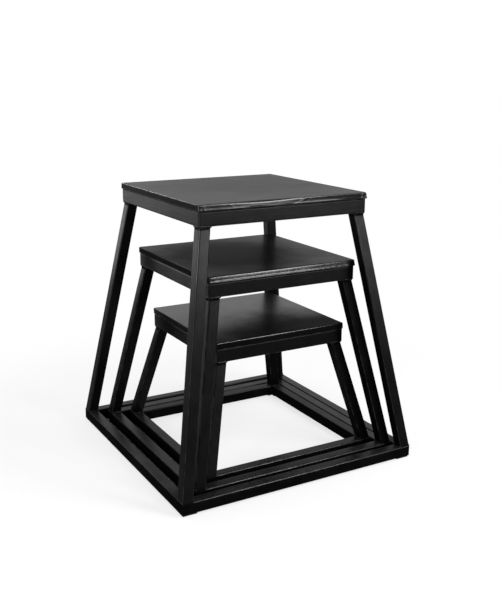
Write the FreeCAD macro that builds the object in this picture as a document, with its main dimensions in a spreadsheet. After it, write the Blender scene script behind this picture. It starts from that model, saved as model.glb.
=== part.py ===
import FreeCAD, Part
import math
import os
import Sketcher

# A nested set of three open steel jump boxes: the tall box stands over the medium box, and the
# medium box over the small one. Millimetres, +Z up, origin on the floor under the tall box.
# The front of the set faces -Y.

# Driving sizes
sizes = {
    # whole boxes
    "small_height": 304.8,       # floor to the landing surface of the small box
    "height_step": 152.4,        # how much taller each next box is
    "small_base": 433.0,         # outer side of the small box's base frame
    "small_deck": 332.4,         # side of the small box's deck, cover included
    # how the boxes stand in each other
    "nest_gap": 11.5,            # room round a base frame inside the next one, when centred
    "leg_gap": 8.3,              # room between a deck's edge and the legs that stand over it, when centred
    "medium_side_gap": 1.2,      # medium base frame to the tall one, on the right
    "small_side_gap": 1.0,       # small base frame to the medium one, on the right
    "small_back_gap": 1.0,       # what is left behind the small box, pushed back
    # base frame and legs
    "tube_size": 25.4,           # square tube, outside
    "tube_wall": 2.0,
    "tube_radius": 3.0,          # outside edge of the tube
    "tube_inner_radius": 1.0,
    "base_corner": 3.0,          # dressed mitre corner of the base frame, in plan
    "leg_setback": 0.8,          # leg's outer face behind the base frame's outer face
    # top frame
    "rail_size": 31.75,          # square tube, outside
    "rail_wall": 2.0,
    "rail_radius": 4.0,
    "rail_inner_radius": 2.0,
    "rail_corner": 5.0,          # dressed mitre corner of the top frame, in plan
    # deck
    "board_thick": 12.0,
    "cover_thick": 1.5,          # grained sheet wrapped over the top and edges of the board
    "cover_corner": 6.0,         # corner of the covered deck, in plan
    "cover_arris": 2.5,          # rounded upper edge of the cover
    "cover_hem": 0.8,            # rounded lower edge of the cover
    "deck_overhang": 1.5,        # covered deck past the top frame
    # deck fixings
    "tab_side": 46.0,            # short side of the three-cornered tab
    "tab_thick": 3.0,
    "tab_hole_inset": 14.0,      # screw's axis from both inner faces of the top frame
    "tab_hole_play": 1.0,        # hole in the tab wider than the screw
    "screw_size": 5.0,
    "screw_play": 0.2,           # hole in the board wider and deeper than the screw
    "screw_cover": 3.0,          # board left above the screw
    "screw_head_size": 10.0,
    "screw_head_height": 3.2,
    "screw_head_taper": 24.0,    # degrees
    # feet
    "pad_thick": 3.0,
    "pad_arm": 32.0,             # length of each arm of the corner pad
    "pad_inset": 3.0,            # pad inside both sides of the tube
    "pad_arris": 0.8,            # eased lower edge of the pad
}

boxes = ["small", "medium", "tall"]
sides = ["front", "right", "back", "left"]
corners = ["front_right", "back_right", "back_left", "front_left"]
quarter_turn = 90
corner_bulge = 1.02    # a dressed corner's arc over a true quarter round, so that it crosses the faces
cut_margin = 10.0      # how far a mitre cut reaches past the tube
level_play = 1e-6      # a face lower than this is level

doc = FreeCAD.newDocument("plyo_box_set")


def fill_sheet(name, cells):
    sheet = doc.addObject("Spreadsheet::Sheet", name)
    for row, (alias, content) in enumerate(cells.items(), start=1):
        sheet.set(f"A{row}", alias)
        sheet.set(f"B{row}", content)
        sheet.setAlias(f"B{row}", alias)
    doc.recompute()
    return sheet


def box_layout():
    # Places and sizes that follow from the driving ones. Each larger box clears the deck inside it.
    cells = {
        "foot_top": "=Sizes.pad_thick + Sizes.tube_size",
        "deck_thick": "=Sizes.board_thick + Sizes.cover_thick",
        "board_corner": "=Sizes.cover_corner - Sizes.cover_thick",
        "leg_inset": "=(Sizes.rail_size - Sizes.tube_size) / 2",
        "screw_reach": "=Sizes.board_thick - Sizes.screw_cover",
    }
    for index, box in enumerate(boxes):
        cells[f"{box}_height"] = f"=Sizes.small_height + {index} * Sizes.height_step"
        cells[f"{box}_base"] = f"=Sizes.small_base + {2 * index} * (Sizes.tube_size + Sizes.nest_gap)"
        cells[f"{box}_foot"] = f"={box}_base / 2 - Sizes.leg_setback"
        cells[f"{box}_rail_top"] = f"={box}_height - deck_thick"
        cells[f"{box}_rail_foot"] = f"={box}_rail_top - Sizes.rail_size"
        cells[f"{box}_leg_height"] = f"={box}_rail_foot - foot_top"
        if index == 0:
            run = f"{box}_foot - (Sizes.small_deck / 2 - Sizes.deck_overhang - leg_inset)"
        else:
            inner = boxes[index - 1]
            room = f"{box}_foot - Sizes.tube_size - {inner}_deck / 2 - Sizes.leg_gap"
            run = f"({room}) * {box}_leg_height / ({inner}_height - foot_top)"
        cells[f"{box}_leg_run"] = "=" + run
        cells[f"{box}_rail"] = f"={box}_foot - {box}_leg_run + leg_inset"
        cells[f"{box}_deck"] = f"=2 * ({box}_rail + Sizes.deck_overhang)"
        cells[f"{box}_board"] = f"={box}_deck / 2 - Sizes.cover_thick"
        cells[f"{box}_screw"] = f"={box}_rail - Sizes.rail_size - Sizes.tab_hole_inset"
    cells["tall_shift_x"] = "0"
    cells["tall_shift_y"] = "0"
    cells["medium_shift_x"] = "=Sizes.nest_gap - Sizes.medium_side_gap"
    cells["medium_shift_y"] = "0"
    cells["small_shift_x"] = "=medium_shift_x + Sizes.nest_gap - Sizes.small_side_gap"
    cells["small_shift_y"] = "=min(Sizes.nest_gap; Sizes.leg_gap) - Sizes.small_back_gap"
    return cells


def add_body(name, box, level, quarter=0):
    # A piece stands at its own level on its box's middle axis, turned by quarter turns.
    body = doc.addObject("PartDesign::Body", name)
    body.Label = name
    turn = FreeCAD.Rotation(FreeCAD.Vector(0, 0, 1), quarter * quarter_turn)
    body.Placement = FreeCAD.Placement(FreeCAD.Vector(), turn)
    body.setExpression("Placement.Base.x", f"Layout.{box}_shift_x")
    body.setExpression("Placement.Base.y", f"Layout.{box}_shift_y")
    body.setExpression("Placement.Base.z", level)
    return body


def origin_feature(body, role):
    return next(feature for feature in body.Origin.OriginFeatures if feature.Role == role)


def add_sketch(body, name, role="XY_Plane"):
    sketch = body.newObject("Sketcher::SketchObject", name)
    sketch.AttachmentSupport = [(origin_feature(body, role), "")]
    sketch.MapMode = "FlatFace"
    return sketch


def bind(sketch, kind, items, formula):
    index = sketch.addConstraint(Sketcher.Constraint(kind, *items, sketch.evalExpression(formula)))
    sketch.setExpression(f"Constraints[{index}]", formula)


def pin(sketch, geometry, end, x, y):
    bind(sketch, "DistanceX", (-1, 1, geometry, end), x)
    bind(sketch, "DistanceY", (-1, 1, geometry, end), y)


def arc_between(start, end, radius):
    # The short arc from start to end. A positive radius turns left, a negative one right.
    chord = end - start
    half = chord.Length / 2
    rise = abs(radius) - math.sqrt(radius * radius - half * half)
    outward = FreeCAD.Vector(chord.y, -chord.x, 0).normalize() * math.copysign(rise, radius)
    return Part.Arc(start, (start + end) / 2 + outward, end)


def draw_loop(sketch, points):
    # A closed outline. Each point is x, y and the radius of the arc that leaves it, or None for a line.
    places = []
    for x, y, radius in points:
        places.append(FreeCAD.Vector(sketch.evalExpression(x), sketch.evalExpression(y), 0))
    ends = []
    for index, (x, y, radius) in enumerate(points):
        start = places[index]
        stop = places[(index + 1) % len(points)]
        if radius is None:
            geometry = sketch.addGeometry(Part.LineSegment(start, stop))
        else:
            geometry = sketch.addGeometry(arc_between(start, stop, sketch.evalExpression(radius)))
        forward = (sketch.getPoint(geometry, 1) - start).Length < (sketch.getPoint(geometry, 2) - start).Length
        ends.append((geometry, 1, 2) if forward else (geometry, 2, 1))
    for index, (x, y, radius) in enumerate(points):
        geometry, first, last = ends[index]
        following, following_first, following_last = ends[(index + 1) % len(points)]
        sketch.addConstraint(Sketcher.Constraint("Coincident", geometry, last, following, following_first))
        pin(sketch, geometry, first, x, y)
        if radius is not None:
            bind(sketch, "Radius", (geometry,), f"abs({radius})")


def draw_rounded_rectangle(sketch, low_x, low_y, high_x, high_y, radius):
    draw_loop(sketch, [
        (f"{low_x} + {radius}", low_y, None),
        (f"{high_x} - {radius}", low_y, radius),
        (high_x, f"{low_y} + {radius}", None),
        (high_x, f"{high_y} - {radius}", radius),
        (f"{high_x} - {radius}", high_y, None),
        (f"{low_x} + {radius}", high_y, radius),
        (low_x, f"{high_y} - {radius}", None),
        (low_x, f"{low_y} + {radius}", radius),
    ])


def draw_tube_section(sketch, low_x, low_y, kind):
    size = f"Sizes.{kind}_size"
    wall = f"Sizes.{kind}_wall"
    high_x = f"{low_x} + {size}"
    high_y = f"{low_y} + {size}"
    draw_rounded_rectangle(sketch, low_x, low_y, high_x, high_y, f"Sizes.{kind}_radius")
    inner_low = (f"{low_x} + {wall}", f"{low_y} + {wall}")
    inner_high = (f"{high_x} - {wall}", f"{high_y} - {wall}")
    draw_rounded_rectangle(sketch, *inner_low, *inner_high, f"Sizes.{kind}_inner_radius")


def draw_circle(sketch, x, y, diameter):
    centre = FreeCAD.Vector(sketch.evalExpression(x), sketch.evalExpression(y), 0)
    radius = f"({diameter}) / 2"
    circle = Part.Circle(centre, FreeCAD.Vector(0, 0, 1), sketch.evalExpression(radius))
    geometry = sketch.addGeometry(circle)
    pin(sketch, geometry, 3, x, y)
    bind(sketch, "Radius", (geometry,), radius)


def add_pad(body, sketch, length):
    pad = body.newObject("PartDesign::Pad", "Pad")
    pad.Profile = sketch
    pad.setExpression("Length", length)
    sketch.Visibility = False
    return pad


def repeat_round_axis(body):
    # The same piece at all four corners of the box.
    doc.recompute()
    body.AllowCompound = True
    pattern = body.newObject("PartDesign::PolarPattern", "Corners")
    pattern.TransformMode = "Whole shape"
    pattern.Axis = (origin_feature(body, "Z_Axis"), [""])
    pattern.Angle = 360
    pattern.Occurrences = len(corners)
    body.Tip = pattern


def ease_level_face(body, feature, highest, radius):
    # Rounds the edges of the feature's highest or lowest level face.
    doc.recompute()
    levels = {}
    for index, face in enumerate(feature.Shape.Faces, start=1):
        if face.BoundBox.ZLength < level_play:
            levels[face.BoundBox.ZMin] = f"Face{index}"
    chosen = levels[max(levels) if highest else min(levels)]
    fillet = body.newObject("PartDesign::Fillet", "Arris")
    fillet.Base = (feature, [chosen])
    fillet.setExpression("Radius", radius)
    return fillet


def mitre_cut(body, half, kind, corner):
    # Cuts both ends of a rail at 45 degrees and rounds the frame's corner in plan.
    arc = f"{corner} * {corner_bulge}"
    on_mitre = f"({corner} - {arc} * sqrt(0.5))"
    on_face = f"({corner} - sqrt(({arc}) * ({arc}) - {corner} * {corner}))"
    deep = f"(Sizes.{kind}_size + {cut_margin})"
    sketch = add_sketch(body, "Mitres")
    for hand in ("", "-"):
        turn = "-" if hand == "" else ""
        draw_loop(sketch, [
            (f"{hand}({half} - {deep})", f"-{half} + {deep}", None),
            (f"{hand}({half} - {on_mitre})", f"-{half} + {on_mitre}", f"{turn}{arc}"),
            (f"{hand}({half} - {on_face})", f"-{half}", None),
            (f"{hand}({half} - {on_face})", f"-{half} - {cut_margin}", None),
            (f"{hand}({half} + {cut_margin})", f"-{half} - {cut_margin}", None),
            (f"{hand}({half} + {cut_margin})", f"-{half} + {deep}", None),
        ])
    whole = body.Tip.Shape.Volume
    pocket = body.newObject("PartDesign::Pocket", "MitreCut")
    pocket.Profile = sketch
    pocket.Type = "ThroughAll"
    pocket.SideType = "Symmetric"
    sketch.Visibility = False
    doc.recompute()
    if pocket.Shape.Volume >= whole:
        raise RuntimeError(f"{body.Label}: the mitres cut nothing")


def make_rail(name, box, quarter, kind, half, level):
    # One side of a square frame, drawn as the front side and turned into place.
    body = add_body(name, box, level, quarter)
    section = add_sketch(body, "Section", "YZ_Plane")
    draw_tube_section(section, f"-{half}", "0", kind)
    pad = add_pad(body, section, f"2 * {half}")
    pad.SideType = "Symmetric"
    doc.recompute()
    corner = "Sizes.base_corner" if kind == "tube" else "Sizes.rail_corner"
    mitre_cut(body, half, kind, corner)
    return body


def make_leg(name, box, quarter):
    # A tube with both ends cut level, standing on the base frame and leaning inwards both ways.
    body = add_body(name, box, "Layout.foot_top", quarter)
    section = add_sketch(body, "Section")
    foot = f"Layout.{box}_foot"
    draw_tube_section(section, f"{foot} - Sizes.tube_size", f"-{foot}", "tube")
    pad = add_pad(body, section, f"Layout.{box}_leg_height")
    pad.UseCustomVector = True
    pad.AlongSketchNormal = True
    pad.setExpression("Direction.x", f"-Layout.{box}_leg_run")
    pad.setExpression("Direction.y", f"Layout.{box}_leg_run")
    pad.setExpression("Direction.z", f"Layout.{box}_leg_height")
    return body


def draw_deck_outline(body, name, half, radius):
    outline = add_sketch(body, name)
    draw_rounded_rectangle(outline, f"-{half}", f"-{half}", half, half, radius)
    return outline


def cut_up(body, sketch, depth):
    # A pocket from the underside of a deck piece upwards.
    whole = body.Tip.Shape.Volume
    pocket = body.newObject("PartDesign::Pocket", "Pocket")
    pocket.Profile = sketch
    pocket.Reversed = True
    pocket.setExpression("Length", depth)
    sketch.Visibility = False
    doc.recompute()
    if pocket.Shape.Volume >= whole:
        raise RuntimeError(f"{body.Label}: {sketch.Label} cut nothing")


def make_board(box):
    body = add_body(f"{box}_deck_board", box, f"Layout.{box}_rail_top")
    outline = draw_deck_outline(body, "Outline", f"Layout.{box}_board", "Layout.board_corner")
    add_pad(body, outline, "Sizes.board_thick")
    doc.recompute()
    holes = add_sketch(body, "ScrewHoles")
    screw = f"Layout.{box}_screw"
    for x, y in ((screw, screw), (f"-{screw}", screw), (f"-{screw}", f"-{screw}"), (screw, f"-{screw}")):
        draw_circle(holes, x, y, "Sizes.screw_size + Sizes.screw_play")
    cut_up(body, holes, "Layout.screw_reach + Sizes.screw_play")
    return body


def make_cover(box):
    # The landing surface: a sheet over the board's top and down its four edges, open underneath.
    body = add_body(f"{box}_deck_cover", box, f"Layout.{box}_rail_top")
    outline = draw_deck_outline(body, "Outline", f"(Layout.{box}_deck / 2)", "Sizes.cover_corner")
    block = add_pad(body, outline, "Layout.deck_thick")
    rounded = ease_level_face(body, block, True, "Sizes.cover_arris")
    ease_level_face(body, rounded, False, "Sizes.cover_hem")
    doc.recompute()
    inside = draw_deck_outline(body, "BoardInside", f"Layout.{box}_board", "Layout.board_corner")
    cut_up(body, inside, "Sizes.board_thick")
    return body


def make_tabs(box):
    # Three-cornered plates inside the top frame's corners, level with its top, holed for a screw.
    body = add_body(f"{box}_deck_tabs", box, f"Layout.{box}_rail_top - Sizes.tab_thick")
    outline = add_sketch(body, "Outline")
    inner = f"(Layout.{box}_rail - Sizes.rail_size)"
    draw_loop(outline, [
        (inner, inner, None),
        (f"{inner} - Sizes.tab_side", inner, None),
        (inner, f"{inner} - Sizes.tab_side", None),
    ])
    screw = f"Layout.{box}_screw"
    draw_circle(outline, screw, screw, "Sizes.screw_size + Sizes.tab_hole_play")
    add_pad(body, outline, "Sizes.tab_thick")
    repeat_round_axis(body)
    return body


def make_screws(box):
    # Pan-head screws: the head lies under the tab, and the shank goes up through it into the board.
    body = add_body(f"{box}_deck_screws", box, f"Layout.{box}_rail_top - Sizes.tab_thick")
    screw = f"Layout.{box}_screw"
    shank = add_sketch(body, "Shank")
    draw_circle(shank, screw, screw, "Sizes.screw_size")
    add_pad(body, shank, "Sizes.tab_thick + Layout.screw_reach")
    head = add_sketch(body, "Head")
    draw_circle(head, screw, screw, "Sizes.screw_head_size")
    pad = add_pad(body, head, "Sizes.screw_head_height")
    pad.Reversed = True
    pad.setExpression("TaperAngle", "-Sizes.screw_head_taper * 1 deg")
    repeat_round_axis(body)
    return body


def make_pads(box):
    # Angled rubber pads under the corners of the base frame.
    body = add_body(f"{box}_foot_pads", box, "0")
    outline = add_sketch(body, "Outline")
    outer = f"(Layout.{box}_base / 2 - Sizes.pad_inset)"
    inner = f"(Layout.{box}_base / 2 - Sizes.tube_size + Sizes.pad_inset)"
    end = f"({outer} - Sizes.pad_arm)"
    draw_loop(outline, [
        (outer, outer, None),
        (end, outer, None),
        (end, inner, None),
        (inner, inner, None),
        (inner, end, None),
        (outer, end, None),
    ])
    pad = add_pad(body, outline, "Sizes.pad_thick")
    ease_level_face(body, pad, False, "Sizes.pad_arris")
    repeat_round_axis(body)
    return body


def make_box(box):
    bodies = []
    for quarter, side in enumerate(sides):
        half = f"(Layout.{box}_base / 2)"
        bodies.append(make_rail(f"{box}_base_rail_{side}", box, quarter, "tube", half, "Sizes.pad_thick"))
    for quarter, corner in enumerate(corners):
        bodies.append(make_leg(f"{box}_leg_{corner}", box, quarter))
    for quarter, side in enumerate(sides):
        half = f"Layout.{box}_rail"
        level = f"Layout.{box}_rail_foot"
        bodies.append(make_rail(f"{box}_top_rail_{side}", box, quarter, "rail", half, level))
    bodies += [make_board(box), make_cover(box), make_tabs(box), make_screws(box), make_pads(box)]
    return bodies


def check_model(bodies):
    for item in doc.Objects:
        if "Invalid" in item.State or "Error" in item.State:
            raise RuntimeError(f"{item.Label} failed: {item.State}")
    for body in bodies:
        if body.Shape.isNull() or not body.Shape.isValid() or not body.Shape.Solids:
            raise RuntimeError(f"{body.Label} has no sound shape")


fill_sheet("Sizes", {name: str(value) for name, value in sizes.items()})
layout = fill_sheet("Layout", box_layout())
pieces = []
for box in boxes:
    pieces += make_box(box)
doc.recompute()
check_model(pieces)

os.makedirs("parts", exist_ok=True)
for piece in pieces:
    piece.Shape.exportStep(f"parts/{piece.Label}.step")
for box in boxes:
    base = layout.get(f"{box}_base")
    deck = layout.get(f"{box}_deck")
    height = layout.get(f"{box}_height")
    print(f"{box}: base {base:.1f}, deck {deck:.1f}, height {height:.1f}")
print(f"{len(pieces)} pieces")
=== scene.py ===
import math
import bmesh
import bpy
from mathutils import Matrix, Vector, noise


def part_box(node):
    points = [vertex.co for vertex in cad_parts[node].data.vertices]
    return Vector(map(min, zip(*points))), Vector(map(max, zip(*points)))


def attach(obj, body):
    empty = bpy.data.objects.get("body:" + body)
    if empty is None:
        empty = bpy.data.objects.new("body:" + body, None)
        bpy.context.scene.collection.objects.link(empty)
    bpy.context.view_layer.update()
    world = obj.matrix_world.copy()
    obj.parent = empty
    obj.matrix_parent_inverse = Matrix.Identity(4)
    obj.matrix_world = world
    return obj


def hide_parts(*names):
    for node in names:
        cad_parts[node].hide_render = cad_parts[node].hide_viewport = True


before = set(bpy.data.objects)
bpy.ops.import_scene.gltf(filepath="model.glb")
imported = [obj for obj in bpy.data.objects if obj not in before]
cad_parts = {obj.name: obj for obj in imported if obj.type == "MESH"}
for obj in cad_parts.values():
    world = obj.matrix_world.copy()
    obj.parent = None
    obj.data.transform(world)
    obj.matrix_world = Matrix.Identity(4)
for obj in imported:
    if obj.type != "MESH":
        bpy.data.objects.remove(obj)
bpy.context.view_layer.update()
scene = bpy.context.scene
boxes = ["small", "medium", "tall"]
sides = ["front", "right", "back", "left"]
corners = ["front_right", "back_right", "back_left", "front_left"]
print("frame loaded", len(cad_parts), "nodes")


class Wire:
    # a socket in a node tree, so that shader sums read as sums
    def __init__(self, tree, socket=None):
        self.tree = tree
        self.socket = socket

    def node(self, kind, settings=None, sockets=None, out=0):
        made = self.tree.nodes.new(kind)
        for key, value in (settings or {}).items():
            setattr(made, key, value)
        for key, value in (sockets or {}).items():
            if isinstance(value, Wire):
                self.tree.links.new(value.socket, made.inputs[key])
            else:
                made.inputs[key].default_value = value
        return Wire(self.tree, made.outputs[out] if made.outputs else None)

    def other(self, out):
        # another output of the same node
        return Wire(self.tree, self.socket.node.outputs[out])

    def sum(self, operation, first, second):
        return self.node("ShaderNodeMath", {"operation": operation}, {0: first, 1: second})

    def larger(self, second):
        return self.sum("MAXIMUM", self, second)

    def __add__(self, second):
        return self.sum("ADD", self, second)

    def __radd__(self, first):
        return self.sum("ADD", first, self)

    def __sub__(self, second):
        return self.sum("SUBTRACT", self, second)

    def __rsub__(self, first):
        return self.sum("SUBTRACT", first, self)

    def __mul__(self, second):
        return self.sum("MULTIPLY", self, second)

    def __rmul__(self, first):
        return self.sum("MULTIPLY", first, self)


# what the finishes share

def newFinish(name):
    material = bpy.data.materials.new(name)
    material.use_nodes = True
    material.node_tree.nodes.clear()
    return material, Wire(material.node_tree)


def closeFinish(wire, sockets):
    surface = wire.node("ShaderNodeBsdfPrincipled", {}, sockets)
    wire.node("ShaderNodeOutputMaterial", {}, {"Surface": surface})


def place(wire, stretch=(1, 1, 1), shift=(0, 0, 0)):
    coords = wire.node("ShaderNodeTexCoord", out="Object")
    return wire.node("ShaderNodeMapping", {}, {"Vector": coords, "Location": shift, "Scale": stretch})


def level(wire, axis="Z"):
    # place along an axis of the nested set
    coords = wire.node("ShaderNodeTexCoord", out="Object")
    return wire.node("ShaderNodeSeparateXYZ", {}, {0: coords}, axis)


def speckle(wire, spot, size, detail=3, rough=0.5):
    # noise whose patches are about this size in metres
    sockets = {"Vector": spot, "Scale": 1 / size, "Detail": detail, "Roughness": rough}
    return wire.node("ShaderNodeTexNoise", {}, sockets)


def fade(wire, value, low, high, start=0.0, end=1.0):
    # goes from start to end while the value goes from low to high
    sockets = {0: value, 1: low, 2: high, 3: start, 4: end}
    return wire.node("ShaderNodeMapRange", {"interpolation_type": "SMOOTHSTEP"}, sockets)


def sway(speckles, amount):
    # noise made to sway round zero
    return (speckles - 0.5) * amount


def within(mask, factor):
    # the factor where the mask is 1, and no change where it is 0
    return 1 + mask * (factor - 1)


def rgb(grey, warm=0.0):
    return (grey * (1 + warm), grey, grey * (1 - warm), 1)


def tint(wire, factor, first, second):
    return wire.node("ShaderNodeMix", {"data_type": "RGBA"}, {0: factor, 6: first, 7: second}, 2)


def mottled(wire, cloud, grey, stray):
    # a colour that strays both ways in soft patches
    return tint(wire, fade(wire, cloud, 0.3, 0.7), rgb(grey * (1 - stray)), rgb(grey * (1 + stray)))


def raised(wire, relief, height, strength):
    # the bump of a relief of this height in metres
    return wire.node("ShaderNodeBump", {}, {"Strength": strength, "Distance": height, "Height": relief})


def rounding(wire, low=0.03, high=0.2):
    # 0 on flat faces, 1 on the rounded edges between them
    normal = wire.node("ShaderNodeTexCoord", out="Normal")
    size = wire.node("ShaderNodeVectorMath", {"operation": "ABSOLUTE"}, {0: normal})
    alongX = wire.node("ShaderNodeSeparateXYZ", {}, {0: size})
    largest = alongX.larger(alongX.other("Y")).larger(alongX.other("Z"))
    return fade(wire, 1 - largest, low, high)


def facing(wire, axis, sign, low=0.75, high=0.98):
    # 1 where the surface faces along an axis
    normal = wire.node("ShaderNodeTexCoord", out="Normal")
    return fade(wire, wire.node("ShaderNodeSeparateXYZ", {}, {0: normal}, axis) * sign, low, high)


def upward(wire, *limits):
    return facing(wire, "Z", 1, *limits)


def forward(wire, *limits):
    return facing(wire, "Y", -1, *limits)


def leftward(wire, *limits):
    return facing(wire, "X", -1, *limits)


def rightward(wire, *limits):
    return facing(wire, "X", 1, *limits)


def dullEnd(wire, end, length, whole=0.6, rest=0.1):
    # 1, and only a little over this length at the right end
    return fade(wire, level(wire, "X"), end - length, end - length * whole, 1.0, rest)


# powder coat of the tubes, tabs and welds

coatLook = {
    "colour": 0.0022,
    "stray": 0.25,                  # share by which the colour strays
    "wearAndHighlight": 0.045,                  # colour of scratches, and of rubbed edges, where it is partly wear and partly a painted highlight
    "dust": 0.055,                  # colour of the dust on upward faces
    "shares": {"dust": 0.3, "rub": 0.4, "baseRubAndHighlight": 0.1, "scratch": 0.3},
    "roughness": 0.34,
    "roughened": {"cloud": 0.12, "fleck": 0.06, "rub": -0.08, "dust": 0.06},
    "cloudSize": 0.05,
    "fleckSize": 0.004,
    "rubSize": 0.018,
    "rubbed": (0.40, 0.65),         # noise at which an edge starts to be rubbed and painted lighter, and is
    "dustSize": 0.006,
    "dusty": (0.30, 0.72),
    "scratchWidth": 0.0007,
    "scratchStretch": (1, 1, 0.04),
    "scratched": (0.68, 0.74),
    "scratchPatch": 0.03,
    "scratchedPatch": (0.55, 0.7),
    "peelSize": 0.0012,             # orange peel of the powder
    "peelHeight": 0.00003,
    "peelStrength": 0.5,
    "relief": {"fleck": 0.6, "scratch": -0.4},
    # the gloss is a smooth film that the powder flows into
    "filmRoughness": 0.28,
    "patchy": {"cloud": 0.5, "fleck": 0.3, "dust": 0.8},
    "rightSide": (-0.05, 0.10),     # where the right half starts, and is whole
    "baseSide": 0.03,               # share on the sides of the base tubes
    "baseRim": 0.2,                 # share on their edges
    "baseDepth": (-0.25, -0.20, 0.65, 1.35),    # from the front rail to behind it
    "baseEdge": 0.60,               # on the upper front edges of the base tubes
    "baseEdgeRubbed": 0.5,
    "edgeForward": (0.3, 0.6),
    "edgeUpward": (0.1, 0.4),
    "footing": 0.026,               # dull length of a base tube beside a leg
    "footingSoft": 0.15,
    "weldFilm": 0.90,               # on the upper half of the weld beads
    "beadTop": (0.05, 0.35),
    "beadFleck": 0.6,
    "weldDepth": (-0.1, 0.1, 1.0, 0.4),         # from the front welds to the back ones
    "weldRight": 0.3,
    "lowWelds": (0.02, 0.04),       # height over the bases where the lower welds end
    "neck": 0.008,                  # bare length of a leg below its upper weld
    "lit": (0.4, 1.15),             # from the foot of a leg to its head
    "railStart": 0.001,
    "drawn": 0.0035,                # spacing of the faint lines along the drawn tubes
    "drawnUp": (1, 1, 0.03),
    "drawnAlong": (0.04, 0.04, 1),
    "drawnShare": 0.9,
    "edgeRightward": (0.2, 0.5),
    "rightEdge": 0.3,
    "nearEdge": (0.3, 0.5),
    "glintFrom": 0.16,              # below the top frame
    "glintTo": 0.08,
    # film on the base tubes, at the foot and head of the legs, on the top frame, on the edges
    # and on the lower welds, how it changes on left faces, on the right legs and on the front
    # rail, the length of that rail's dull right end, the film on the nearest edge of a leg, and
    # the gloss of the powder itself
    "tall": {"base": 0.33, "foot": 0.085, "head": 0.135, "top": 0.12, "edge": 0.45, "lowWeld": 0.25,
             "left": 1.35, "right": 1.1, "front": 1.2, "dull": 0.004, "glint": 0.9, "specular": 0.004},
    "medium": {"base": 0.32, "foot": 0.10, "head": 0.06, "top": 0.27, "edge": 0.14, "lowWeld": 0.50,
               "left": 3.5, "right": 0.3, "front": 0.48, "dull": 0.020, "glint": 0.0, "specular": 0.0},
    "small": {"base": 0.23, "foot": 0.11, "head": 0.06, "top": 0.14, "edge": 0.12, "lowWeld": 0.50,
              "left": 2.0, "right": 0.3, "front": 0.5, "dull": 0.018, "glint": 0.0, "specular": 0.0},
}


def baseFilm(wire, box, marks):
    look = coatLook
    edge = marks["edge"]
    onTop = look["baseSide"] + upward(wire) * (1 - look["baseSide"])
    film = look[box]["base"] * onTop * within(edge, look["baseRim"]) * marks["patchy"]
    film = film * fade(wire, level(wire, "Y"), *look["baseDepth"])
    arris = edge * forward(wire, *look["edgeForward"]) * upward(wire, *look["edgeUpward"])
    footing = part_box(f"{box}_base_rail_front")[0].x + look["footing"]
    soft = look["footing"] * look["footingSoft"]
    arris = arris * fade(wire, level(wire, "X"), footing - soft, footing + soft)
    return film.larger(arris * within(marks["rub"], look["baseEdgeRubbed"]) * look["baseEdge"])


def weldFilm(wire, box, marks):
    look = coatLook
    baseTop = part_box(f"{box}_base_rail_front")[1].z
    low, high = look["lowWelds"]
    rippled = 1 + sway(marks["fleck"], look["beadFleck"])
    film = upward(wire, *look["beadTop"]) * rippled * look["weldFilm"]
    film = film * fade(wire, level(wire, "Y"), *look["weldDepth"])
    film = film * fade(wire, level(wire), baseTop + low, baseTop + high, look[box]["lowWeld"], 1.0)
    return film * within(fade(wire, level(wire, "X"), *look["rightSide"]), look["weldRight"])


def legFilm(wire, box, marks):
    # the legs and the top frame, told apart by their height
    look = coatLook
    own = look[box]
    edge = marks["edge"]
    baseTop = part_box(f"{box}_base_rail_front")[1].z
    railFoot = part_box(f"{box}_top_rail_front")[0].z
    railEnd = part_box(f"{box}_top_rail_right")[1].x
    height = level(wire)
    onRight = fade(wire, level(wire, "X"), *look["rightSide"])
    neck = fade(wire, height, railFoot - look["neck"], railFoot - look["neck"] / 2, 1.0, 0.0)
    lit = fade(wire, height, baseTop, railFoot, *look["lit"])
    legs = fade(wire, height, baseTop, railFoot, own["foot"], own["head"]) * neck
    legs = legs * within(leftward(wire), lit * own["left"])
    legs = legs * within(onRight, lit * own["right"])
    drawnUp = speckle(wire, place(wire, look["drawnUp"], marks["shift"]), look["drawn"])
    legs = legs * (1 + sway(drawnUp, look["drawnShare"]))
    rails = fade(wire, height, railFoot, railFoot + look["railStart"]) * own["top"]
    rails = rails * fade(wire, forward(wire), 0.0, 1.0, 1.0, own["front"])
    rails = rails * dullEnd(wire, railEnd, own["dull"])
    drawnAlong = speckle(wire, place(wire, look["drawnAlong"], marks["shift"]), look["drawn"])
    rails = rails * (1 + sway(drawnAlong, look["drawnShare"]))
    film = (legs + rails) * marks["patchy"]
    arris = edge * (1 - marks["rub"]) * lit * own["edge"]
    arris = arris * within(rightward(wire, *look["edgeRightward"]), look["rightEdge"])
    nearest = edge * leftward(wire, *look["nearEdge"]) * forward(wire, *look["nearEdge"])
    nearest = nearest * fade(wire, height, railFoot - look["glintFrom"], railFoot - look["glintTo"])
    return film.larger(arris).larger(nearest * neck * own["glint"])


coatFilms = {"legs": legFilm, "base": baseFilm, "weld": weldFilm}


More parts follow.
